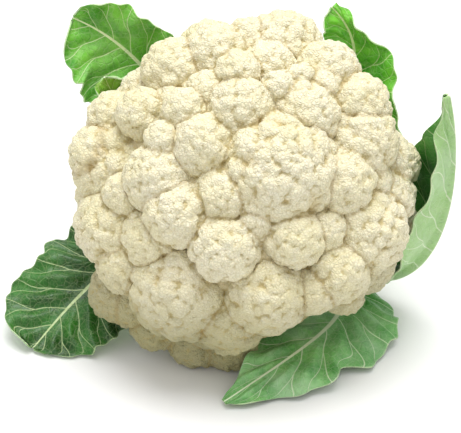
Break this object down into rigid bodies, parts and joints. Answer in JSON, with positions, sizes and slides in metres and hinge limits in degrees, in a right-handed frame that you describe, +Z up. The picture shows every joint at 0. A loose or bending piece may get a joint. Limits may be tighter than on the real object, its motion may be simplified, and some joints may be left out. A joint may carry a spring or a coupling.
{
  "type": "cauliflower",
  "caption": "Whole cauliflower lying on its side: a dense cream curd of knobbed florets facing forward and up, a cut stem and spreading green leaves.",
  "frame": {"origin": "on the table, below the middle of the part's bounding box", "axes": "+Z up from the table, -Y the way the curd faces, +X to the right of the curd as seen from the front"},
  "size_m": [0.2355, 0.176, 0.1652],
  "materials": {
    "curd": "matte, knobbed",
    "stem": "satin",
    "leaf": "satin, waxy",
    "young_leaf": "satin"
  },
  "bodies": {
    "root": {"curd": "curd", "stem": "stem", "leaf_upper_left": "leaf", "leaf_young_left": "young_leaf", "leaf_upper_right": "leaf", "leaf_right": "leaf", "leaf_lower_right": "leaf", "leaf_lower_left": "leaf"}
  },
  "joints": []
}
